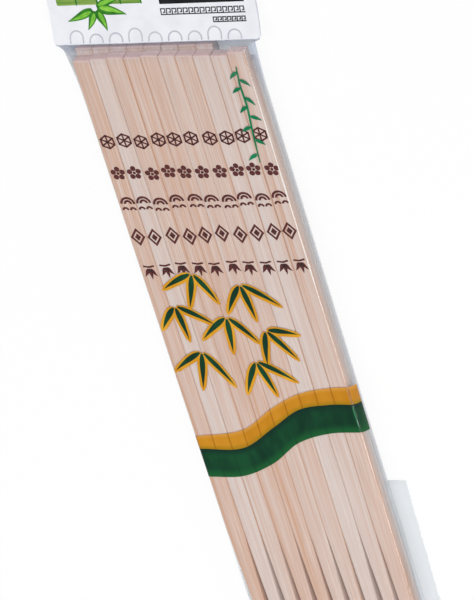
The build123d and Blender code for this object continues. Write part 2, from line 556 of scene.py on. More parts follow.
class Ink(Enum):
    """The inks on sticks, film and card."""

    STICK_BROWN = InkFinish("stick_brown_ink", shade(76, 18, 16), shade(98, 32, 28), 1.0, 0.5, STAMPED)
    LEAF_GREEN = InkFinish("leaf_green_ink", shade(10, 50, 34), shade(20, 76, 46), roughness=0.32)
    LEAF_GOLD = InkFinish("leaf_gold_ink", shade(205, 142, 28), shade(224, 164, 44), roughness=0.36)
    BAND_GOLD = BandFinish(
        "band_gold_ink",
        shade(207, 138, 26),
        shade(219, 152, 38),
        alpha=0.74,
        upper=shade(226, 162, 68),
        lower=shade(178, 134, 18),
        joint=shade(150, 88, 6),
    )
    BAND_GREEN = BandFinish(
        "band_green_ink",
        shade(8, 52, 34),
        shade(18, 76, 44),
        alpha=0.92,
        upper=shade(10, 46, 36),
        # Painted sheen: the green stripe lightens towards its lower edge for the film's gloss.
        lower=shade(24, 92, 46),
        joint=shade(10, 58, 38),
    )
    BAND_SHEEN = InkFinish("band_sheen_ink", shade(36, 118, 74), shade(56, 146, 96), alpha=0.9)
    TWIG_GREEN = InkFinish("twig_green_ink", shade(10, 104, 66), shade(24, 128, 84), roughness=0.36)
    BLACK = InkFinish("card_black_ink", shade(22, 22, 24), shade(36, 36, 40), roughness=0.34)
    FRET_GREY = InkFinish("card_dark_ink", shade(30, 31, 35), shade(46, 48, 53))
    PALE_GREY = InkFinish("card_pale_ink", shade(188, 189, 200), shade(202, 202, 212))
    SPRIG_DARK = InkFinish("sprig_dark_ink", shade(38, 108, 34), shade(62, 138, 40), 1.0, 0.34, LEAFY)
    SPRIG_LIGHT = InkFinish("sprig_light_ink", shade(102, 178, 48), shade(146, 208, 82), 1.0, 0.34, LEAFY)
    # Painted highlight: a near-white mark on the film that stands for the light's reflection along the
    # front right edge.
    EDGE_HIGHLIGHT = InkFinish("painted_film_highlight", shade(240, 235, 230), shade(252, 249, 246), 0.85, 0.3)
    CANE_GREEN = InkFinish("cane_green_ink", shade(98, 142, 60), shade(152, 178, 92), 1.0, 0.34, CANE_LIKE)


class Finishes:
    """Materials, each built once."""

    def __init__(self) -> None:
        """Builds the finishes that everything shares."""
        self.bamboo = BambooFinish().material()
        self.film = FilmFinish().material()
        self.card = CardFinish().material()
        self.steel = SteelFinish().material()
        self.inks = {ink: ink.value.material() for ink in Ink}


def publish(
    name: str,
    shape: bmesh.types.BMesh,
    material: bpy.types.Material,
    stands_for: Sequence[str] = (),
    sharp: float = 35.0,
) -> bpy.types.Object:
    """Turns a finished shape in millimetres into a piece that rides on the pack.

    Args:
        name: the piece's name.
        shape: its mesh, which is used up.
        material: its finish.
        stands_for: the CAD nodes that it stands for.
        sharp: edges that turn by more degrees than this stay sharp.

    Returns:
        The piece.
    """
    bmesh.ops.scale(shape, vec=(MM, MM, MM), verts=shape.verts)
    for face in shape.faces:
        face.smooth = True
    for edge in shape.edges:
        edge.smooth = edge.calc_face_angle(0.0) < math.radians(sharp)
    mesh = bpy.data.meshes.new(name)
    shape.to_mesh(mesh)
    shape.free()
    mesh.materials.append(material)
    piece = bpy.data.objects.new(name, mesh)
    bpy.context.scene.collection.objects.link(piece)
    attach(piece, BODY)
    if stands_for:
        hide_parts(*stands_for)
    LOG.info("%s: %d faces", name, len(mesh.polygons))
    return piece


def refinish(node: bpy.types.Object, material: bpy.types.Material) -> None:
    """Gives a CAD node a new finish.

    Args:
        node: the CAD node.
        material: its finish.
    """
    node.data.materials.clear()
    node.data.materials.append(material)
    LOG.info("%s: %d faces", node.name, len(node.data.polygons))


@dataclass
class Chopstick:
    """One stick: a planed shaft with eased edges that tapers to a round tip."""

    row: str
    number: int
    tone: float
    slimmer: float = 0.0
    drift: float = 0.0
    edge_radius: float = 0.18
    shaft: float = 190.0
    tip_diameter: float = 3.5
    tip_rounding: float = 0.9
    tip_roundness: float = 0.93
    tip_end: float = 0.2
    butt_ease: float = 0.4
    butt_sharpness: float = 0.6
    side_face: float = 0.8

    @property
    def node(self) -> str:
        """Name of the CAD node that the stick stands for."""
        return f"chopstick_{self.row}_{self.number:02d}"

    def stations(self, length: float, width: float, thickness: float) -> list[Outline]:
        """Lists the outlines that the stick passes through.

        Args:
            length: from butt to tip.
            width: of the shaft.
            thickness: of the shaft.

        Returns:
            Depth from the butt, width, thickness and corner radius of each outline.
        """
        ease_off, radius = self.butt_ease, self.edge_radius
        found = []
        for turn in (0, 30, 60, 90):
            inset = ease_off * (1 - math.sin(math.radians(turn)))
            depth = ease_off * (1 - math.cos(math.radians(turn)))
            corner = radius * (1 - self.butt_sharpness * inset / ease_off)
            found.append((depth, width - 2 * inset, thickness - 2 * inset, corner))
        taper_start, tip = found[-1][0], length - self.tip_rounding
        for share in (0.25, 0.5, 0.75, 1.0):
            found.append((taper_start + share * (self.shaft - taper_start), width, thickness, radius))
        for share in (0.06, 0.2, 0.4, 0.6, 0.8, 1.0):
            depth = self.shaft + share * (tip - self.shaft)
            corner = radius + share**4 * (self.tip_roundness * self.tip_diameter / 2 - radius)
            across = width + share * (self.tip_diameter - width)
            through = thickness + share * (self.tip_diameter - thickness)
            found.append((depth, across, through, corner))
        for turn in (30, 60, 90):
            blunt = self.tip_rounding * (1 - math.cos(math.radians(turn)))
            around = self.tip_diameter - 2 * blunt
            depth = tip + self.tip_rounding * math.sin(math.radians(turn))
            found.append((depth, around, around, self.tip_roundness * around / 2))
        return found

    def build(self) -> bmesh.types.BMesh:
        """Pulls a rounded rectangle from the butt to the tip.

        Returns:
            The stick's mesh, with its tone, across and end attributes.
        """
        low, high = (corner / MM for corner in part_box(self.node))
        size = high - low
        width, thickness = size.x - self.slimmer, size.z
        middle = Vector(((low.x + high.x) / 2, high.y, (low.z + high.z) / 2))
        shape = bmesh.new()
        tone = shape.verts.layers.float.new("tone")
        across = shape.verts.layers.float.new("across")
        end = shape.verts.layers.float.new("end")
        bmesh.ops.create_grid(shape, x_segments=1, y_segments=1, size=0.5)
        bmesh.ops.scale(shape, vec=(width, thickness, 1), verts=shape.verts)
        round_corners(shape, shape.verts[:], self.edge_radius)
        bmesh.ops.rotate(shape, matrix=Matrix.Rotation(math.radians(90), 3, "X"), verts=shape.verts)
        corner = self.edge_radius
        ring_number = shape.verts.layers.int.new("ring_number")
        rays = []
        for number, vert in enumerate(shape.verts):
            vert[ring_number] = number
            side, rise = math.copysign(1, vert.co.x), math.copysign(1, vert.co.z)
            ray = Vector((abs(vert.co.x) - width / 2 + corner, 0, abs(vert.co.z) - thickness / 2 + corner))
            rays.append((side, rise, ray / corner))

        def settle(verts: Sequence[bmesh.types.BMVert], outline: Outline) -> None:
            """Moves a ring of vertices onto one outline."""
            depth, wide, thick, radius = outline
            for vert in verts:
                side, rise, ray = rays[vert[ring_number]]
                x = side * (wide / 2 - radius + ray.x * radius)
                z = rise * (thick / 2 - radius + ray.z * radius)
                aside = self.drift * max(0.0, (depth - self.shaft) / (size.y - self.shaft))
                vert.co = middle + Vector((x + aside, -depth, z))
                vert[tone] = self.tone
                vert[across] = 2 * x / wide if ray.x < 0.99 else side * self.side_face
                vert[end] = float(depth < 0.5 * self.butt_ease or depth > size.y - self.tip_end)

        outlines = self.stations(size.y, width, thickness)
        settle(shape.verts[:], outlines[0])
        butt = cap = shape.faces[:]
        for outline in outlines[1:]:
            made = bmesh.ops.extrude_face_region(shape, geom=cap)["geom"]
            if cap is not butt:
                bmesh.ops.delete(shape, geom=cap, context="FACES_ONLY")
            cap = [item for item in made if isinstance(item, bmesh.types.BMFace)]
            settle(verts_in(made), outline)
        bmesh.ops.recalc_face_normals(shape, faces=shape.faces[:])
        return shape

    def dress(self, finishes: Finishes) -> bpy.types.Object:
        """Builds the stick and gives it its bamboo."""
        name = f"bamboo_stick_{self.row}_{self.number:02d}"
        return publish(name, self.build(), finishes.bamboo, (self.node,))


@dataclass
class StickRows:
    """Both rows of sticks, each stick with its own shade."""

    seed: int = 11
    front_tones: tuple[float, ...] = (0.75, 0.05, 0.36, 0.6, 0.8, 0.34, 0.45, 0.08, 0.2, 0.6)
    back_tones: Point = (0.1, 0.7)
    slimmer: Point = (-0.095, 0.03)
    most_drift: float = 0.5

    def dress(self, finishes: Finishes) -> None:
        """Builds all the sticks.

        Args:
            finishes: the materials.
        """
        draw = random.Random(self.seed)
        for row in ("front", "back"):
            for number in range(1, PACK.row_count + 1):
                tone = self.front_tones[number - 1] if row == "front" else draw.uniform(*self.back_tones)
                slimmer = draw.uniform(*self.slimmer)
                drift = draw.uniform(-self.most_drift, self.most_drift)
                Chopstick(row, number, tone, slimmer, drift).dress(finishes)


class Haze(Enum):
    """How cloudy a stretch of film is: its face, crease, underside and back, and then how much painted
    shade greys that haze.
    """

    # At the mouth and shoulder the haze is thick and fully greyed by painted shade, for the shadowed hollow
    # under the card.
    MOUTH = (0.2, 0.6, 0.8, 0.8, 1.0)
    SHOULDER = (0.1, 0.85, 1.15, 0.9, 1.0)
    SLEEVE = (0.02, 0.5, 0.8, 0.02, 0.0)
    FLAP = (0.25, 0.3, 0.3, 0.25, 0.0)


@dataclass(frozen=True)
class FilmRing:
    """One section across the bag: where it stands, which way is up in it, and its outline."""

    y: float
    z: float
    lean: float
    high: float
    flat: float
    crease: float
    haze: float
    side_haze: float
    under_haze: float
    back_haze: float
    painted_shade: float
    shift: float = 0.0
    loose: float = 0.0
    left: float = 1.0

    FACE_STEPS = 20
    SIDE_STEPS = 5
    ROUNDING = 0.6
    BULGE = 0.25
    EDGE_SHARE = 0.1

    def toward(self, other: FilmRing, share: float) -> FilmRing:
        """The section a share of the way to another one."""
        ends = zip(astuple(self), astuple(other))
        return FilmRing(*(here + share * (there - here) for here, there in ends))

    def cloud(self, rise: float, side: float) -> float:
        """Reads the haze, which under the crease thickens downwards.

        Args:
            rise: height over the crease.
            side: share of the way to the crease.

        Returns:
            The haze there.
        """
        if rise >= 0:
            return self.haze + side * (self.side_haze - self.haze)
        if side < self.EDGE_SHARE:
            return self.back_haze
        share = (side - self.EDGE_SHARE) / (1 - self.EDGE_SHARE)
        return self.under_haze + share * (self.side_haze - self.under_haze)

    def half_outline(self) -> list[Spot]:
        """Walks from the middle of the front round one side to the middle of the back.

        Returns:
            Distance from the middle, height and share of the way to the crease, for each step.
        """
        soft = min(self.ROUNDING, 0.3 * self.high)
        out = (self.crease - self.flat) * soft / max(self.high, 1e-6)
        steps = self.FACE_STEPS
        upper = [((self.flat - soft) * n / steps, self.high, 0.0) for n in range(steps + 1)]
        upper.append((self.flat - 0.29 * soft + 0.3 * out, self.high - 0.29 * soft, self.EDGE_SHARE / 2))
        for n in range(self.SIDE_STEPS + 1):
            t = n / self.SIDE_STEPS
            bulge = self.BULGE * math.sin(math.pi * t) * min(1.0, self.high / 4)
            x = self.flat + out + t * (self.crease - self.flat - out) + bulge
            upper.append((x, (self.high - soft) * (1 - t), self.EDGE_SHARE + (1 - self.EDGE_SHARE) * t))
        lower = [(x, -z, s) for x, z, s in reversed(upper[:-1])]
        return upper + lower


@dataclass
class FilmBag:
    """Clear film bag: flat mouth under the card, shoulder, creased sleeve, and toe folded into a flap."""

    top: float = 8.5
    bottom: float = 0.6
    sleeve_half: float = 30.75
    side_crease: float = 1.0
    mouth_crease: float = 2.7
    left_crease: float = 0.35
    left_top: float = 0.8
    left_shoulder: float = 1.4
    left_fade: float = 60.0
    left_clear: float = 0.5
    swelling: float = 0.3
    swell_scale: Point = (0.045, 0.15)
    swell_height: float = 3.0
    crumple: float = 0.28
    crumple_scale: Spot = (0.34, 0.4, 0.31)
    bag_half: float = 35.93
    sheet: float = 0.13
    sealed_edge: float = 0.2
    shoulder_y: float = 104.446
    shoulder_lean: float = -0.193
    shoulder_run: float = 20.0
    shoulder_clears: float = 4.0
    mouth_slope: float = 0.4538
    bend_y: float = 127.104
    bend_z: float = 47.54
    bend_radius: float = 46.44
    flat_z: float = 1.1
    film_end_y: float = 144.57
    toe_y: float = -142.254
    bottom_y: float = -146.254
    pinch_z: float = 0.7
    flap_z: float = 0.2
    flap_end_y: float = -71.254
    flap_cut: float = 0.15
    flap_skew: float = 0.99
    seam: float = 0.0005

    FLAT_STEPS = 4
    BEND_STEPS = 10
    SHOULDER_STEPS = 8
    EASING_STEPS = 10
    SLEEVE_STEPS = 46
    TOE_STEPS = 6
    FOLD_STEPS = 8
    FLAP_STEPS = 24

    def sealed_ring(self, y: float, z: float, lean: float, haze: Haze) -> FilmRing:
        """Section where the front and the back of the film lie on each other."""
        half = self.bag_half
        return FilmRing(y, z, lean, self.sheet, half - self.sealed_edge, half, *haze.value)

    def sleeve_ring(self, y: float) -> FilmRing:
        """Section of the sleeve, with its crease standing out less on the left.

        Args:
            y: where the section stands.

        Returns:
            The section.
        """
        middle, high = (self.top + self.bottom) / 2, (self.top - self.bottom) / 2
        upper = ease(1 - (self.shoulder_y - y) / self.left_fade)
        left = self.left_crease + upper * (self.left_top - self.left_crease)
        flat, crease = self.sleeve_half, self.sleeve_half + self.side_crease
        return FilmRing(y, middle, 0.0, high, flat, crease, *Haze.SLEEVE.value, left=left)

    def shoulder_ring(self) -> FilmRing:
        """Leaning section over the butts.

        Returns:
            The section.
        """
        high = (self.top - self.bottom) / math.cos(self.shoulder_lean) / 2
        y = self.shoulder_y + high * math.sin(-self.shoulder_lean)
        z = (self.top + self.bottom) / 2
        flat, crease = self.sleeve_half, self.sleeve_half + self.mouth_crease
        haze = Haze.SHOULDER.value
        return FilmRing(y, z, self.shoulder_lean, high, flat, crease, *haze, left=self.left_shoulder)

    def mouth_rings(self) -> list[FilmRing]:
        """Lists the sections of the sealed mouth.

        Returns:
            Sections from its cut edge, along the flat and down the card's slope.
        """
        start = self.film_end_y - self.sealed_edge
        found = [replace(self.sealed_ring(self.film_end_y, self.flat_z, 0.0, Haze.MOUTH), high=0.0)]
        for n in range(self.FLAT_STEPS + 1):
            y = start + n / self.FLAT_STEPS * (self.bend_y - start)
            found.append(self.sealed_ring(y, self.flat_z, 0.0, Haze.MOUTH))
        for n in range(1, self.BEND_STEPS + 1):
            turn = self.mouth_slope * n / self.BEND_STEPS
            y = self.bend_y - self.bend_radius * math.sin(turn)
            z = self.bend_z - self.bend_radius * math.cos(turn)
            found.append(self.sealed_ring(y, z, turn, Haze.MOUTH))
        return found

    def body_rings(self, mouth: FilmRing) -> list[FilmRing]:
        """Lists the sections around the sticks.

        Args:
            mouth: the mouth's last section.

        Returns:
            Sections from there over the shoulder and along the sleeve to the toe.
        """
        found = []
        shoulder, eased = self.shoulder_ring(), self.sleeve_ring(self.shoulder_y - self.shoulder_run)
        for n in range(1, self.SHOULDER_STEPS + 1):
            share = n / self.SHOULDER_STEPS
            loose = self.crumple * math.sin(math.pi * share)
            found.append(replace(mouth.toward(shoulder, share), loose=loose))
        for n in range(1, self.EASING_STEPS + 1):
            share = n / self.EASING_STEPS
            haze = shoulder.haze + ease(share * self.shoulder_clears) * (eased.haze - shoulder.haze)
            found.append(replace(shoulder.toward(eased, share), haze=haze))
        for n in range(1, self.SLEEVE_STEPS + 1):
            found.append(self.sleeve_ring(eased.y + n / self.SLEEVE_STEPS * (self.toe_y - eased.y)))
        return found

    def flap_rings(self, toe: FilmRing) -> list[FilmRing]:
        """Lists the sections past the tips.

        Args:
            toe: the sleeve's last section.

        Returns:
            Sections from there to the pinched end, round its fold and back under the pack to the cut edge.
        """
        pinched = self.sealed_ring(self.bottom_y, self.pinch_z, 0.0, Haze.FLAP)
        found = [toe.toward(pinched, n / self.TOE_STEPS) for n in range(1, self.TOE_STEPS + 1)]
        fold = (self.pinch_z - self.flap_z) / 2
        for n in range(1, self.FOLD_STEPS + 1):
            turn = math.pi * n / self.FOLD_STEPS
            y = self.bottom_y - fold * math.sin(turn)
            z = self.pinch_z - fold * (1 - math.cos(turn))
            found.append(self.sealed_ring(y, z, -turn, Haze.FLAP))
        for n in range(1, self.FLAP_STEPS + 1):
            share = n / self.FLAP_STEPS
            y = self.bottom_y + share * (self.flap_end_y - self.flap_cut - self.bottom_y)
            ring = self.sealed_ring(y, self.flap_z, -math.pi, Haze.FLAP)
            found.append(replace(ring, shift=share * self.flap_skew))
        found.append(replace(found[-1], y=self.flap_end_y, high=0.0))
        return found

    def rings(self) -> list[FilmRing]:
        """Lists the bag's sections.

        Returns:
            Sections from the mouth's cut edge, over the pack and round the toe, to the flap's cut edge.
        """
        found = self.mouth_rings()
        found += self.body_rings(found[-1])
        found += self.flap_rings(found[-1])
        return found

    def swell(self, y: float, rise: float, side: float) -> float:
        """How far the loose side of the film stands out of its plain section."""
        place = Vector((0.0, y * self.swell_scale[0], rise * self.swell_scale[1]))
        return side * self.swelling * noise.noise(place)

    def build(self) -> bmesh.types.BMesh:
        """Pulls one closed skin through all the sections.

        Returns:
            The bag's mesh, with its haze and painted shade attributes.
        """
        rings = self.rings()
        count = 2 * len(rings[0].half_outline()) - 2
        shape = bmesh.new()
        haze, painted_shade = (shape.verts.layers.float.new(name) for name in ("haze", "painted_shade"))
        number = shape.verts.layers.int.new("ring_number")
        bmesh.ops.create_circle(shape, cap_ends=False, segments=count, radius=1.0)
        shape.verts.ensure_lookup_table()
        walk, before = shape.verts[0], None
        for index in range(count):
            walk[number] = index
            onward = [edge.other_vert(walk) for edge in walk.link_edges]
            step = next(vert for vert in onward if vert is not before)
            before, walk = walk, step
        self.settle(shape.verts[:], rings[0], number, haze, painted_shade)
        edges = shape.edges[:]
        for ring in rings[1:]:
            made = bmesh.ops.extrude_edge_only(shape, edges=edges)["geom"]
            verts = verts_in(made)
            edges = edges_between(made, verts)
            self.settle(verts, ring, number, haze, painted_shade)
        bmesh.ops.remove_doubles(shape, verts=shape.verts[:], dist=self.seam)
        bmesh.ops.recalc_face_normals(shape, faces=shape.faces[:])
        return shape

    def settle(
        self,
        verts: Sequence[bmesh.types.BMVert],
        ring: FilmRing,
        number: bmesh.types.BMLayerItem,
        haze: bmesh.types.BMLayerItem,
        painted_shade: bmesh.types.BMLayerItem,
    ) -> None:
        """Moves a ring of vertices onto one section.

        Args:
            verts: the ring's vertices.
            ring: the section.
            number: layer with each vertex's place in the ring.
            haze: layer that takes each vertex's haze.
            painted_shade: layer that takes how much painted shade greys that haze.
        """
        half = ring.half_outline()
        outline = half + [(-x, z, s) for x, z, s in reversed(half[1:-1])]
        up = Vector((0, math.sin(ring.lean), math.cos(ring.lean)))
        wide, long, tall = self.crumple_scale
        for vert in verts:
            x, rise, side = outline[vert[number]]
            vert[haze] = ring.cloud(rise, side)
            # Painted shade greys the haze at the mouth and shoulder; where there is none, the haze on the
            # left side is thinned.
            vert[painted_shade] = ring.painted_shade
            if x < -ring.flat:
                vert[haze] *= 1 - (1 - ring.painted_shade) * self.left_clear
                x = -ring.flat + ring.left * (x + ring.flat)
            crumple = ring.loose * noise.noise(Vector((x * wide, ring.y * long, rise * tall)))
            x += self.swell(ring.y, rise, side) * min(1.0, ring.high / self.swell_height)
            rise += crumple
            vert.co = Vector((PACK.middle_x + ring.shift + x, ring.y, ring.z)) + up * rise

    def dress(self, finishes: Finishes) -> bpy.types.Object:
        """Builds the bag and gives it its film."""
        return publish("film_bag_skin", self.build(), finishes.film, ("film_bag",), 60.0)


class PrintArt:
    """Flat print: shapes drawn in millimetres, then raised and laid on a surface."""

    SEAM = 0.0002
    LEAF_STEPS = 14
    LEAF_PROFILE = ((0.0, 0.34), (0.12, 0.8), (0.32, 1.0), (0.6, 0.72), (0.84, 0.32), (1.0, 0.03))

    def __init__(self) -> None:
        """Starts with no shapes, and draws at no height."""
        self.shape = bmesh.new()
        self.lift = 0.0

    def stroke(self, path: Sequence[Point], widths: float | Sequence[float]) -> None:
        """Pulls a short edge along a path.

        Args:
            path: points of the path; one that ends where it starts makes a closed ring.
            widths: the stroke's width, or one for each point.
        """
        spread = [widths] * len(path) if isinstance(widths, (int, float)) else list(widths)
        closed = math.dist(path[0], path[-1]) < 1e-6
        edge, ends = None, []
        for index, (x, y) in enumerate(path):
            before = path[index - 1] if index else (path[-2] if closed else path[0])
            after = path[index + 1] if index < len(path) - 1 else (path[1] if closed else path[-1])
            arrive = Vector((x - before[0], y - before[1])).normalized()
            leave = Vector((after[0] - x, after[1] - y)).normalized()
            run = (arrive + leave).normalized()
            mitre = 1.0
            if arrive.length and leave.length:
                mitre = 1.0 / max(0.5, run.dot(leave))
            side = Vector((-run.y, run.x)) * spread[index] / 2 * mitre
            corners = [Vector((x + turn * side.x, y + turn * side.y, self.lift)) for turn in (1, -1)]
            if edge is None:
                ends = [self.shape.verts.new(corner) for corner in corners]
                edge = self.shape.edges.new(ends)
                continue
            made = bmesh.ops.extrude_edge_only(self.shape, edges=[edge])["geom"]
            verts = verts_in(made)
            edge = edges_between(made, verts)[0]
            ends = [min(verts, key=lambda vert: (vert.co - old.co).length) for old in ends]
            for vert, corner in zip(ends, corners):
                vert.co = corner

    def disc(self, x: float, y: float, radius: float, segments: int = 18) -> None:
        """Adds a filled round."""
        place = Matrix.Translation((x, y, 0))
        bmesh.ops.create_circle(self.shape, cap_ends=True, segments=segments, radius=radius, matrix=place)

    def block(self, x0: float, y0: float, x1: float, y1: float, corner: float = 0.0) -> None:
        """Adds a filled rectangle.

        Args:
            x0, y0: its lower left corner.
            x1, y1: its upper right corner.
            corner: radius of its corners.
        """
        place = Matrix.Translation(((x0 + x1) / 2, (y0 + y1) / 2, 0))
        grow = Matrix.Diagonal((x1 - x0, y1 - y0, 1, 1))
        made = bmesh.ops.create_grid(self.shape, x_segments=1, y_segments=1, size=0.5, matrix=place @ grow)
        if corner:
            round_corners(self.shape, made["verts"], corner)

    def leaf(self, base: Point, tip: Point, width: float, bend: float = 0.0, grow: float = 0.0) -> None:
        """Adds a slender leaf, blunt at its base and pointed at its tip.

        Args:
            base: where it starts.
            tip: where it ends.
            width: across its widest place.
            bend: how far its middle stands off the straight line.
            grow: how much it is grown all round, for an outline behind it.
        """
        start, end = Vector(base), Vector(tip)
        run = (end - start).normalized()
        start, end = start - run * grow * 0.6, end + run * grow
        middle = (start + end) / 2 + Vector((-run.y, run.x)) * 2 * bend
        path, widths = [], []
        for n in range(self.LEAF_STEPS + 1):
            t = n / self.LEAF_STEPS
            spot = (1 - t) ** 2 * start + 2 * t * (1 - t) * middle + t * t * end
            path.append((spot.x, spot.y))
            round_off = min(1.0, 0.35 + 5 * t, 0.25 + 6 * (1 - t))
            widths.append(width * along(self.LEAF_PROFILE, t) + 2 * grow * round_off)
        self.stroke(path, widths)

    def lay(
        self, surface: Surface, base: float, thickness: float, cuts: Sequence[float]
    ) -> bmesh.types.BMesh:
        """Raises the print to a closed solid and lays it on a surface.

        Args:
            surface: turns a flat place and a height into a point in the pack.
            base: height of the print's underside over the surface.
            thickness: of the ink.
            cuts: heights at which the print is divided, so that it can follow a bend.

        Returns:
            The print's mesh in place.
        """
        shape = self.shape
        bmesh.ops.remove_doubles(shape, verts=shape.verts[:], dist=self.SEAM)
        for cut in cuts:
            everything = shape.verts[:] + shape.edges[:] + shape.faces[:]
            bmesh.ops.bisect_plane(shape, geom=everything, plane_co=(0, cut, 0), plane_no=(0, 1, 0))
        made = bmesh.ops.extrude_face_region(shape, geom=shape.faces[:])["geom"]
        bmesh.ops.translate(shape, vec=(0, 0, thickness), verts=verts_in(made))
        bmesh.ops.recalc_face_normals(shape, faces=shape.faces[:])
        for vert in shape.verts:
            vert.co = surface(vert.co.x, vert.co.y, vert.co.z + base)
        return shape


def lay_prints(
    prints: Iterable[tuple[str, PrintArt, Ink, float]],
    surface: Surface,
    thickness: float,
    finishes: Finishes,
    cuts: Sequence[float] = (),
) -> None:
    """Lays prints on a surface, each as a piece of its own.

    Args:
        prints: name, drawing, ink and height over the surface of each.
        surface: turns a flat place and a height into a point in the pack.
        thickness: of the ink.
        finishes: the materials.
        cuts: heights at which a print is divided, so that it can follow a bend.
    """
    for name, art, ink, base in prints:
        publish(name, art.lay(surface, base, thickness, cuts), finishes.inks[ink])


class Ornament(Enum):
    """Traditional ornaments, one for each printed row."""

    STAR = "hemp leaf star"
    BLOSSOM = "plum blossom"
    WAVE = "wave scales"
    LOZENGE = "double lozenge"
    TREFOIL = "three bamboo leaves"

    def paths(self) -> list[tuple[list[Point], float]]:
        """Strokes of the ornament about its middle.

        Returns:
            Paths with their widths, within about 2.2 mm to each side.
        """
        found: list[tuple[list[Point], float]] = []
        if self is Ornament.STAR:
            points = arc(0, 0, 2.25, 90, 450, 6)
            found.append((points, 0.55))
            for start, end in zip(points[:3], points[3:6]):
                found.append(([start, end], 0.5))
        elif self is Ornament.WAVE:
            for radius in (2.05, 1.0):
                found.append((arc(0, 0.1, radius, 0, 180, 12), 0.74))
            for side in (-1.2, 1.2):
                found.append((arc(side, -2.1, 0.8, 0, 180, 10), 0.66))
        elif self is Ornament.LOZENGE:
            for reach, width in ((1.0, 0.66), (0.22, 0.9)):
                x, y = 1.95 * reach, 2.6 * reach
                found.append(([(0, y), (x, 0), (0, -y), (-x, 0), (0, y)], width))
        return found

    def draw(self, art: PrintArt, x: float, y: float, turn: float, scale: float) -> None:
        """Adds the ornament to a print.

        Args:
            art: the print.
            x, y: where the ornament's middle goes.
            turn: how far it is turned, in radians.
            scale: its size beside the drawn one.
        """
        c, s = math.cos(turn) * scale, math.sin(turn) * scale

        def put(point: Point) -> Point:
            """Turns, sizes and moves a point of the ornament."""
            return x + c * point[0] - s * point[1], y + s * point[0] + c * point[1]

        for path, width in self.paths():
            art.stroke([put(point) for point in path], width * scale)
        if self is Ornament.BLOSSOM:
            for petal in arc(0, 0, 1.5, 90, 450, 5)[:5]:
                art.disc(*put(petal), 0.86 * scale)
            art.disc(x, y, 0.5 * scale, 10)
        elif self is Ornament.TREFOIL:
            for tip, bend in (((-2.1, -1.35), 0.25), ((0.1, -2.5), 0.1), ((2.15, -1.3), -0.25)):
                base = (tip[0] * 0.2, 1.4)
                art.leaf(put(base), put(tip), 1.25 * scale, bend)
            art.stroke([put((-1.8, 2.3)), put((0.0, 1.95)), put((1.8, 2.35))], 0.6 * scale)


@dataclass
class StickMarks:
    """Five rows of small brown ornaments, stamped on the front sticks."""

    rows: tuple[tuple[Ornament, float], ...] = (
        (Ornament.STAR, -31.0),
        (Ornament.BLOSSOM, -43.6),
        (Ornament.WAVE, -55.4),
        (Ornament.LOZENGE, -68.2),
        (Ornament.TREFOIL, -82.0),
    )
    slant: float = 0.026
    stray_x: float = 0.3
    stray_y: float = 0.5
    stray_turn: float = 0.06
    gap: float = 0.002
    ink_height: float = 0.03
    scale: float = 1.12
    seed: int = 5

    def surface(self, x: float, y: float, rise: float) -> Vector:
        """Place on the sticks' faces, from the pack's middle and the line of butts."""
        return Vector((PACK.middle_x + x, PACK.butt_y + y, PACK.front_face + rise))

    def dress(self, finishes: Finishes) -> None:
        """Stamps each row on all the front sticks.

        Args:
            finishes: the materials.
        """
        draw = random.Random(self.seed)
        prints = []
        for ornament, row_y in self.rows:
            art = PrintArt()
            for number in range(PACK.row_count):
                x = PACK.stick_x(number)
                y = row_y + self.slant * x + draw.uniform(-self.stray_y, self.stray_y)
                x += draw.uniform(-self.stray_x, self.stray_x)
                turn = self.slant + draw.uniform(-self.stray_turn, self.stray_turn)
                ornament.draw(art, x, y, turn, self.scale)
            prints.append(("stick_marks_" + ornament.name.lower(), art, Ink.STICK_BROWN, self.gap))
        lay_prints(prints, self.surface, self.ink_height, finishes)


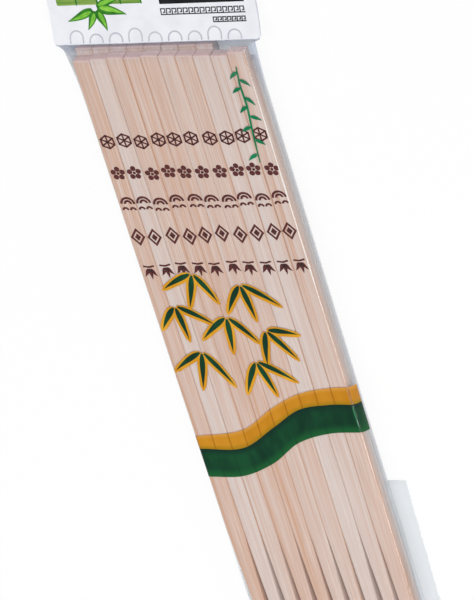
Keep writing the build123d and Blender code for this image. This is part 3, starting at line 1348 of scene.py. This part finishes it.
@dataclass
class FilmPrint:
    """Print on the film: leaf spray, two-colour wave band and a thin twig, with painted highlight lines
    along the front right edge.
    """

    bag: FilmBag
    ink_height: float = 0.012
    clusters: tuple[tuple[Point, tuple[tuple[float, float], ...]], ...] = (
        ((-12.5, -83.5), ((-152, 11.5), (-108, 12.5), (-62, 11.5))),
        ((3.5, -88.0), ((-122, 11.5), (-82, 12.5), (-36, 13.0))),
        ((-22.5, -96.5), ((-126, 10.0), (-84, 12.0), (-32, 12.5))),
        ((-5.0, -101.0), ((-140, 12.0), (-96, 12.5), (-50, 12.0))),
        ((7.5, -106.5), ((-102, 12.5), (-54, 12.5), (-10, 10.0))),
        ((-18.0, -115.0), ((-146, 12.0), (-104, 13.5), (-60, 14.0))),
        ((0.5, -119.0), ((-116, 12.5), (-74, 12.5), (-34, 13.0))),
    )
    leaf_width: float = 1.95
    leaf_outline: float = 0.85
    leaf_stretch: float = 1.16
    leaf_start: float = 1.1
    leaf_bends: tuple[float, ...] = (-0.35, 0.1, 0.35)
    green_shift: Point = (0.08, 0.28)
    ink_step: float = 0.002
    gold_top: tuple[Point, ...] = (
        (-30.2, -150.0),
        (-12.0, -147.1),
        (1.4, -137.9),
        (12.3, -132.3),
        (23.8, -129.9),
        (33.0, -129.5),
    )
    gold_green: tuple[Point, ...] = (
        (-30.2, -155.2),
        (-14.0, -154.7),
        (-0.7, -146.2),
        (10.6, -138.8),
        (22.2, -136.7),
        (31.0, -136.6),
    )
    green_end: tuple[Point, ...] = (
        (-30.2, -167.0),
        (-17.2, -166.5),
        (-4.6, -161.0),
        (6.7, -152.6),
        (19.0, -148.6),
        (31.0, -148.0),
    )
    band_reach: float = 35.2
    band_edge: float = 30.5
    side_droop: float = 0.38
    stem: tuple[Point, ...] = ((26.4, -4.2), (25.7, -11.0), (26.0, -19.0), (25.2, -28.0), (24.4, -40.5))
    stem_widths: tuple[float, ...] = (0.4, 0.65, 0.7, 0.65, 0.35)
    twig_seed: int = 3
    twig_leaves: int = 9
    twig_spaces: float = 9.2
    twig_first: float = 0.6
    twig_turns: Point = (42.0, 66.0)
    twig_lengths: Point = (3.9, 4.8)
    twig_leaf_width: float = 1.35
    twig_leaf_start: float = 0.4
    twig_leaf_bend: float = 0.25
    # Painted highlight lines along the front right edge: where they run across the film, their widths,
    # waver, fades and steps, and where each one starts and ends.
    highlight_across: float = 30.35
    highlight_width: float = 0.4
    highlight_end_width: float = 0.06
    highlight_waver: float = 0.4
    highlight_wave: float = 0.09
    highlight_fades: Point = (8.0, 2.5)
    highlight_steps: int = 40
    film_highlight: Point = (-3.0, -126.0)
    band_highlight: Point = (-137.0, -147.9)
    film_gap: float = 0.004
    over_band: float = 0.018
    over_gold: float = 0.03

    BAND_STEPS = (150, 6)

    def surface(self, across: float, y: float, rise: float) -> Vector:
        """Place on the film's front, measured over its edge and down its side past the flat face.

        Args:
            across: from the pack's middle, along the film.
            y: from the line of butts.
            rise: over the film.

        Returns:
            The point in the pack.
        """
        ring = self.bag.sleeve_ring(0.0)
        half = ring.half_outline()
        walk = [Vector((x, z)) for x, z, _ in half]
        left, step = abs(across), 0
        while step < len(walk) - 2 and left > (walk[step + 1] - walk[step]).length:
            left -= (walk[step + 1] - walk[step]).length
            step += 1
        stretch = walk[step + 1] - walk[step]
        run = stretch.normalized()
        spot = walk[step] + run * left + Vector((-run.y, run.x)) * rise
        side = half[step][2] + left / stretch.length * (half[step + 1][2] - half[step][2])
        if across < 0:
            spot.x = min(spot.x, ring.flat + ring.left * (spot.x - ring.flat))
        x = math.copysign(spot.x, across) + self.bag.swell(PACK.butt_y + y, spot.y, side)
        return Vector((PACK.middle_x + x, PACK.butt_y + y, ring.z + spot.y))

    def band(self, upper: Sequence[Point], lower: Sequence[Point]) -> PrintArt:
        """Draws one stripe of the wave band, which droops past the pack's right edge.

        Args:
            upper, lower: its two edges.

        Returns:
            The stripe, with its share attribute.
        """
        art = PrintArt()
        level = art.shape.verts.layers.float.new("share")
        columns, rows = self.BAND_STEPS
        bmesh.ops.create_grid(art.shape, x_segments=columns, y_segments=rows, size=0.5)
        for vert in art.shape.verts:
            x, share = vert.co.x * 2 * self.band_reach, vert.co.y + 0.5
            vert[level] = share
            held = min(max(x, -self.band_edge), self.band_edge)
            bottom, top = along(lower, held), along(upper, held)
            droop = self.side_droop * max(0.0, x - held)
            vert.co = Vector((x, bottom + share * (top - bottom) - droop, 0))
        return art

    def spray(self, grow: float, shift: Point) -> PrintArt:
        """Draws the leaf spray.

        Args:
            grow: how much each leaf is grown all round.
            shift: how far the spray is moved.

        Returns:
            All its leaves, crossing ones at different heights.
        """
        art = PrintArt()
        for cluster, (heart, leaves) in enumerate(self.clusters):
            x, y = heart[0] + shift[0], heart[1] + shift[1]
            for index, (angle, length) in enumerate(leaves):
                art.lift = self.ink_step * (index + len(leaves) * (cluster % 2))
                turn, reach = math.radians(angle), length * self.leaf_stretch
                start = (x + self.leaf_start * math.cos(turn), y + self.leaf_start * math.sin(turn))
                end = (x + reach * math.cos(turn), y + reach * math.sin(turn))
                art.leaf(start, end, self.leaf_width, self.leaf_bends[index], grow)
        return art

    def twig(self) -> PrintArt:
        """Draws the thin green twig beside the right edge.

        Returns:
            Its stem, with leaves on either side in turn.
        """
        art, stem = PrintArt(), self.stem
        art.stroke(stem, self.stem_widths)
        draw = random.Random(self.twig_seed)
        for n in range(self.twig_leaves):
            t = (n + self.twig_first) / self.twig_spaces * (len(stem) - 1)
            step = min(int(t), len(stem) - 2)
            (x0, y0), (x1, y1) = stem[step], stem[step + 1]
            x, y = x0 + (t - step) * (x1 - x0), y0 + (t - step) * (y1 - y0)
            side = 1 if n % 2 else -1
            turn = math.radians(-90 + side * draw.uniform(*self.twig_turns))
            length = draw.uniform(*self.twig_lengths)
            start = (x + self.twig_leaf_start * math.cos(turn), y + self.twig_leaf_start * math.sin(turn))
            end = (x + length * math.cos(turn), y + length * math.sin(turn))
            art.leaf(start, end, self.twig_leaf_width, side * self.twig_leaf_bend)
        return art

    def painted_highlight(self, start: float, end: float) -> PrintArt:
        """Draws a painted highlight line along the front right edge, where the film is pulled tight over
        it.

        Args:
            start, end: where it starts and fades out, from the line of butts.

        Returns:
            The line.
        """
        art = PrintArt()
        path, widths = [], []
        fade_in, fade_out = self.highlight_fades
        for n in range(self.highlight_steps + 1):
            share = n / self.highlight_steps
            y = start + share * (end - start)
            path.append((self.highlight_across, y))
            waver = 0.8 + self.highlight_waver * noise.noise(Vector((0.0, y * self.highlight_wave, 0.0)))
            fade = ease(share * fade_in) * ease((1 - share) * fade_out)
            widths.append(self.highlight_end_width + self.highlight_width * waver * fade)
        art.stroke(path, widths)
        return art

    def dress(self, finishes: Finishes) -> None:
        """Lays all the print, and the painted highlight lines, on the film.

        Args:
            finishes: the materials.
        """
        prints = (
            ("leaf_spray_gold", self.spray(self.leaf_outline, (0.0, 0.0)), Ink.LEAF_GOLD, self.film_gap),
            ("leaf_spray_green", self.spray(0.0, self.green_shift), Ink.LEAF_GREEN, self.over_gold),
            ("film_twig", self.twig(), Ink.TWIG_GREEN, self.film_gap),
            ("wave_band_gold", self.band(self.gold_top, self.gold_green), Ink.BAND_GOLD, self.film_gap),
            ("wave_band_green", self.band(self.gold_green, self.green_end), Ink.BAND_GREEN, self.film_gap),
            ("film_edge_highlight", self.painted_highlight(*self.film_highlight), Ink.EDGE_HIGHLIGHT, self.over_band),
            ("band_edge_highlight", self.painted_highlight(*self.band_highlight), Ink.BAND_SHEEN, self.over_band),
        )
        lay_prints(prints, self.surface, self.ink_height, finishes)


@dataclass
class HeaderCard:
    """Folded white card with plain generic print on its front panel; the card itself is the CAD node."""

    bend_y: float = 127.104
    bend_z: float = 47.54
    bend_radius: float = 45.84
    bend_turn: float = 0.44733
    face_z: float = 1.7
    ink_height: float = 0.02
    card_gap: float = 0.002
    over_canes: float = 0.006
    over_rings: float = 0.028
    over_leaves: float = 0.05
    cut_pitch: float = 1.52
    cut_count: int = 17
    black_area: tuple[float, float, float, float] = (3.2, 12.3, 32.6, 21.4)
    frets: tuple[tuple[float, float, float, float], ...] = ((3.0, 32.5, 8.8, 10.7), (20.8, 32.4, 5.9, 7.4))
    fret_stroke: float = 0.38
    fret_pitch: float = 1.06
    hook_start: float = 0.2
    hook_width: float = 0.68
    tongue_start: float = 0.48
    tongue_height: float = 0.32
    tongue_lift: float = 0.1
    arch_heights: tuple[float, ...] = (4.4, 3.1, 3.3, 4.6, 3.2, 3.3, 3.1, 4.4, 3.3)
    arch_first: float = -27.9
    arch_pitch: float = 6.95
    arch_radius: float = 2.3
    arch_foot: float = 0.25
    arch_stroke: float = 0.5
    cane_rows: tuple[tuple[float, tuple[float, ...]], ...] = (
        (12.9, (-33.0, -25.6, -17.4, -10.2)),
        (16.9, (-31.5, -22.8, -14.6)),
    )
    cane_length: float = 6.9
    cane_thickness: float = 3.1
    cane_corner: float = 0.5
    ring_lap: float = 0.15
    ring_width: float = 0.6
    ring_corner: float = 0.2
    leaf_heart: Point = (-20.0, 11.7)
    leaf_tips: tuple[tuple[Point, float], ...] = (
        ((-30.2, 7.5), 2.9),
        ((-23.4, 4.5), 2.7),
        ((-16.6, 4.1), 2.9),
        ((-9.0, 9.3), 3.4),
        ((-11.2, 14.5), 2.8),
    )
    leaf_bend: float = 0.3
    light_width: float = 0.5
    light_bend: float = 0.25
    light_aside: float = 0.16
    light_tip_aside: float = 0.2
    light_start: float = 0.8
    light_end: float = 0.9

    def surface(self, x: float, up: float, rise: float) -> Vector:
        """Place on the front panel, from the pack's middle and the card's lower edge.

        Args:
            x: across the card.
            up: from the lower edge, along the card.
            rise: over the card.

        Returns:
            The point in the pack.
        """
        run = self.bend_radius * self.bend_turn
        if up >= run:
            return Vector((PACK.middle_x + x, self.bend_y + up - run, self.face_z + rise))
        turn = self.bend_turn - up / self.bend_radius
        radius = self.bend_radius - rise
        y = self.bend_y - radius * math.sin(turn)
        return Vector((PACK.middle_x + x, y, self.bend_z - radius * math.cos(turn)))

    def black_block(self) -> PrintArt:
        """Draws the plain black block at the upper right.

        Returns:
            The block.
        """
        art = PrintArt()
        art.block(*self.black_area)
        return art

    def fret_lines(self) -> PrintArt:
        """Draws two rows of running hooks under the block, the second one shorter.

        Returns:
            Both rows.
        """
        art = PrintArt()
        for left, right, low, high in self.frets:
            art.stroke([(left, low), (right, low)], self.fret_stroke)
            tall = high - low
            count = round((right - left) / (tall * self.fret_pitch))
            pitch = (right - left) / count
            wide, tongue = pitch * self.hook_width, low + self.tongue_height * tall + self.tongue_lift
            for n in range(count):
                x = left + self.hook_start + n * pitch
                hook = [
                    (x, low + self.fret_stroke / 2),
                    (x, high),
                    (x + wide, high),
                    (x + wide, tongue),
                    (x + self.tongue_start * wide, tongue),
                ]
                art.stroke(hook, self.fret_stroke)
        return art

    def arches(self) -> PrintArt:
        """Draws the thin pale arches along the lower edge.

        Returns:
            All the arches.
        """
        art, radius = PrintArt(), self.arch_radius
        for n, height in enumerate(self.arch_heights):
            x = self.arch_first + n * self.arch_pitch
            path = [(x - radius, self.arch_foot)]
            path += arc(x, height - radius, radius, 180, 0, 12)
            path.append((x + radius, self.arch_foot))
            art.stroke(path, self.arch_stroke)
        return art

    def canes(self) -> tuple[PrintArt, PrintArt]:
        """Draws the bamboo canes at the upper left.

        Returns:
            The canes, and the rings at their ends.
        """
        canes, rings = PrintArt(), PrintArt()
        lap = self.ring_lap
        for low, places in self.cane_rows:
            high = low + self.cane_thickness
            for x in places:
                end = x + self.cane_length
                canes.block(x, low, end, high, self.cane_corner)
                rings.block(end - lap, low - lap, end - lap + self.ring_width, high + lap, self.ring_corner)
        return canes, rings

    def leaves(self) -> tuple[PrintArt, PrintArt]:
        """Draws the fan of green leaves over the canes.

        Returns:
            The dark leaves, and the light on each.
        """
        under, over = PrintArt(), PrintArt()
        heart = Vector(self.leaf_heart)
        for place, width in self.leaf_tips:
            tip = Vector(place)
            run = (tip - heart).normalized()
            base = heart + run
            under.leaf(base, tip, width, self.leaf_bend)
            side = Vector((-run.y, run.x)) * width * self.light_aside
            start = base + run * self.light_start + side
            end = tip - run * self.light_end + side * self.light_tip_aside
            over.leaf(start, end, width * self.light_width, self.light_bend)
        return under, over

    def dress(self, node: bpy.types.Object, finishes: Finishes) -> None:
        """Gives the card its finish and its print.

        Args:
            node: the CAD node.
            finishes: the materials.
        """
        refinish(node, finishes.card)
        canes, rings = self.canes()
        under, over = self.leaves()
        prints = (
            ("card_black_block", self.black_block(), Ink.BLACK, self.card_gap),
            ("card_fret_lines", self.fret_lines(), Ink.FRET_GREY, self.card_gap),
            ("card_pale_arches", self.arches(), Ink.PALE_GREY, self.card_gap),
            ("card_canes", canes, Ink.CANE_GREEN, self.card_gap),
            ("card_cane_rings", rings, Ink.SPRIG_DARK, self.over_canes),
            ("card_leaves_dark", under, Ink.SPRIG_DARK, self.over_rings),
            ("card_leaves_light", over, Ink.SPRIG_LIGHT, self.over_leaves),
        )
        cuts = [self.cut_pitch * n for n in range(1, self.cut_count + 1)]
        lay_prints(prints, self.surface, self.ink_height, finishes, cuts)


@dataclass
class Staples:
    """Two wire staples, which are the CAD node with a drawn finish."""

    def dress(self, node: bpy.types.Object, finishes: Finishes) -> None:
        """Gives the wire its finish."""
        refinish(node, finishes.steel)


@dataclass(frozen=True)
class Softbox:
    """One soft lamp, aimed at the pack."""

    name: str
    place: Spot
    size: Point
    power: float

    def build(self) -> None:
        """Makes the lamp."""
        lamp = bpy.data.lights.new(self.name, "AREA")
        lamp.shape = "RECTANGLE"
        lamp.size, lamp.size_y = self.size
        lamp.energy = self.power
        made = bpy.data.objects.new(self.name, lamp)
        made.location = self.place
        made.rotation_euler = (-Vector(self.place)).to_track_quat("-Z", "Y").to_euler()
        bpy.context.scene.collection.objects.link(made)


@dataclass
class Studio:
    """White floor, soft lamps, pale surroundings and the camera."""

    floor_half: float = 4.0
    floor_white: float = 0.92
    floor_lift: float = 0.88
    sky: float = 0.62
    sky_tilt: Spot = (0.3, 0.15, 0.0)
    backdrop_edge: Point = (0.3, 0.55)
    lens: float = 302.2
    clip_end: float = 100.0
    eye: Spot = (0.711114, 0.868406, 1.205812)
    right: Spot = (0.900788, -0.258751, -0.348753)
    up: Spot = (0.006097, 0.810556, -0.58563)
    boxes: tuple[Softbox, ...] = (
        Softbox("key_box", (-0.6, 0.62, 1.15), (0.8, 0.8), 4.8),
        Softbox("fill_box", (0.42, -0.7, 0.8), (0.45, 0.45), 5.2),
    )

    def seen_directly(self, bench: NodeBench) -> Wire:
        """Tells rays that show the background itself, in the view, in gloss and through film.

        Args:
            bench: where the nodes go.

        Returns:
            1 for those rays, else 0.
        """
        path = "ShaderNodeLightPath"
        camera = bench.node(path, output="Is Camera Ray")
        glossy = bench.node(path, output="Is Glossy Ray")
        through = bench.node(path, output="Is Transmission Ray")
        return (camera + glossy + through).held()

    def build_floor(self) -> None:
        """Lays the white floor."""
        shape = bmesh.new()
        bmesh.ops.create_grid(shape, x_segments=1, y_segments=1, size=self.floor_half)
        mesh = bpy.data.meshes.new("studio_floor")
        shape.to_mesh(mesh)
        shape.free()
        floor = bpy.data.objects.new("studio_floor", mesh)
        bpy.context.scene.collection.objects.link(floor)
        material, bench = new_bench("studio_white")
        white = (self.floor_white, self.floor_white, self.floor_white, 1.0)
        matt = bench.node("ShaderNodeBsdfDiffuse", None, {"Color": white})
        glow = bench.node("ShaderNodeEmission", None, {"Color": WHITE, "Strength": 1.0})
        lift = self.seen_directly(bench) * self.floor_lift
        bench.show(bench.node("ShaderNodeMixShader", None, {0: lift, 1: matt, 2: glow}))
        mesh.materials.append(material)

    def build_sky(self) -> None:
        """Surrounds the pack with soft light, stronger from the card's side, over a white backdrop."""
        world = bpy.data.worlds.new("studio_sky")
        bpy.context.scene.world = world
        world.use_nodes = True
        bench = NodeBench(world.node_tree)
        where = bench.node("ShaderNodeTexCoord", output="Generated")
        dot = {"operation": "DOT_PRODUCT"}
        light = self.sky + bench.node("ShaderNodeVectorMath", dot, {0: where, 1: self.sky_tilt}, "Value")
        height = bench.node("ShaderNodeSeparateXYZ", None, {0: where}, "Z")
        backdrop = self.seen_directly(bench) * (1 - height.step(*self.backdrop_edge))
        strength = light + backdrop * (1 - light)
        glow = bench.node("ShaderNodeBackground", None, {"Color": WHITE, "Strength": strength})
        bench.show(glow, "ShaderNodeOutputWorld")

    def build_camera(self) -> None:
        """Sets up the camera at the photograph's viewing angle."""
        lens = bpy.data.cameras.new("camera")
        lens.lens = self.lens
        lens.clip_end = self.clip_end
        camera = bpy.data.objects.new("camera", lens)
        right, up = Vector(self.right), Vector(self.up)
        turn = Matrix((right, up, right.cross(up))).transposed()
        camera.matrix_world = Matrix.Translation(self.eye) @ turn.to_4x4()
        bpy.context.scene.collection.objects.link(camera)
        bpy.context.scene.camera = camera

    def build(self) -> None:
        """Sets up everything around the pack."""
        bpy.context.scene.view_settings.view_transform = "Standard"
        self.build_floor()
        self.build_sky()
        self.build_camera()
        for box in self.boxes:
            box.build()


def main() -> None:
    """Builds the pack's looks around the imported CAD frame."""
    logging.basicConfig(level=logging.INFO, format="%(message)s")
    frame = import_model()
    finishes = Finishes()
    bag = FilmBag()
    StickRows().dress(finishes)
    StickMarks().dress(finishes)
    bag.dress(finishes)
    FilmPrint(bag).dress(finishes)
    HeaderCard().dress(frame["nodes"]["header_card"], finishes)
    Staples().dress(frame["nodes"]["staples"], finishes)
    Studio().build()


if __name__ == "__main__":
    main()
